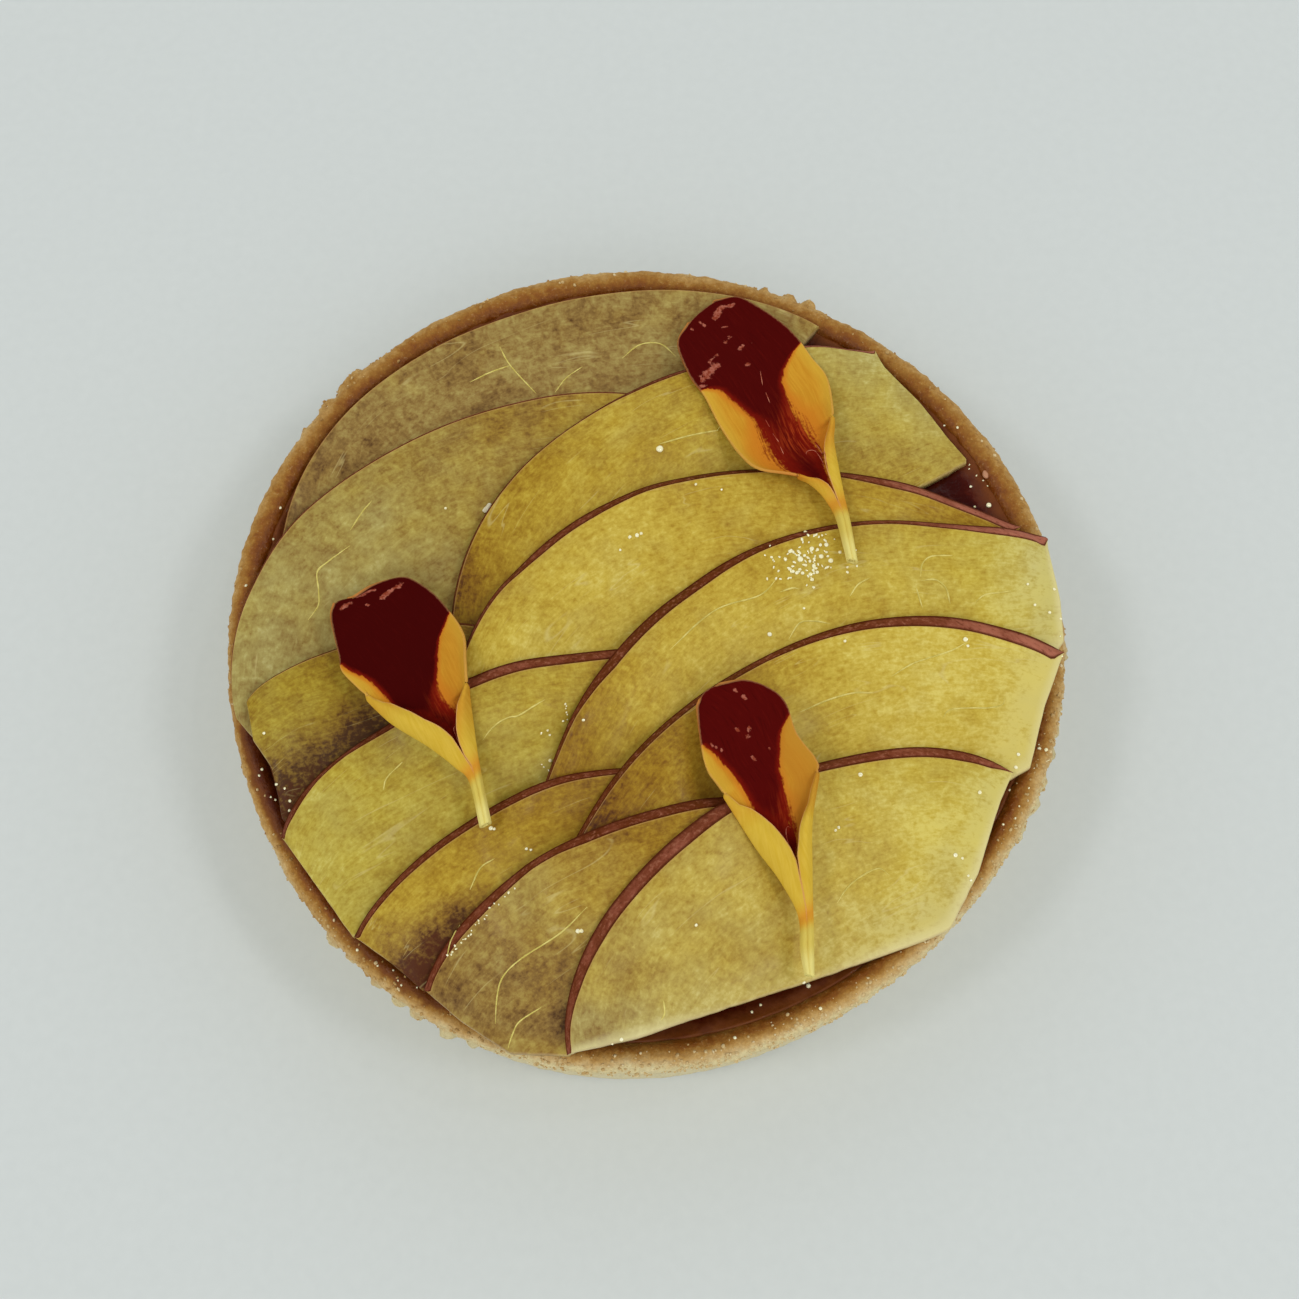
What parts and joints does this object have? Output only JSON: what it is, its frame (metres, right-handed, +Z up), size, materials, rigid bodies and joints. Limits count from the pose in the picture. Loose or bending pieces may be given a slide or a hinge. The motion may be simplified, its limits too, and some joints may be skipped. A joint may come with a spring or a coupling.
{
  "type": "peach tartlet",
  "caption": "Round tartlet with a short-dough shell, red berry jam, shingled thin peach slices and flower petals on top.",
  "frame": {"origin": "middle of the flat underside of the shell, on the table", "axes": "+Z up; +Y to the far side and +X to the right as the slices are seen with their skin edges facing away and to the left"},
  "size_m": [0.0806, 0.0806, 0.0256],
  "materials": {
    "crust": "baked, sandy",
    "jam": "glossy",
    "peach": "moist",
    "petal": "velvety"
  },
  "bodies": {
    "root": {"tart_shell": "crust", "jam_filling": "jam", "peach_slice_01": "peach", "peach_slice_02": "peach", "peach_slice_03": "peach", "peach_slice_04": "peach", "peach_slice_05": "peach", "peach_slice_06": "peach", "peach_slice_07": "peach", "peach_slice_08": "peach", "peach_slice_09": "peach", "peach_slice_10": "peach", "peach_slice_11": "peach", "petal_upper": "petal", "petal_left": "petal", "petal_lower": "petal"}
  },
  "joints": []
}
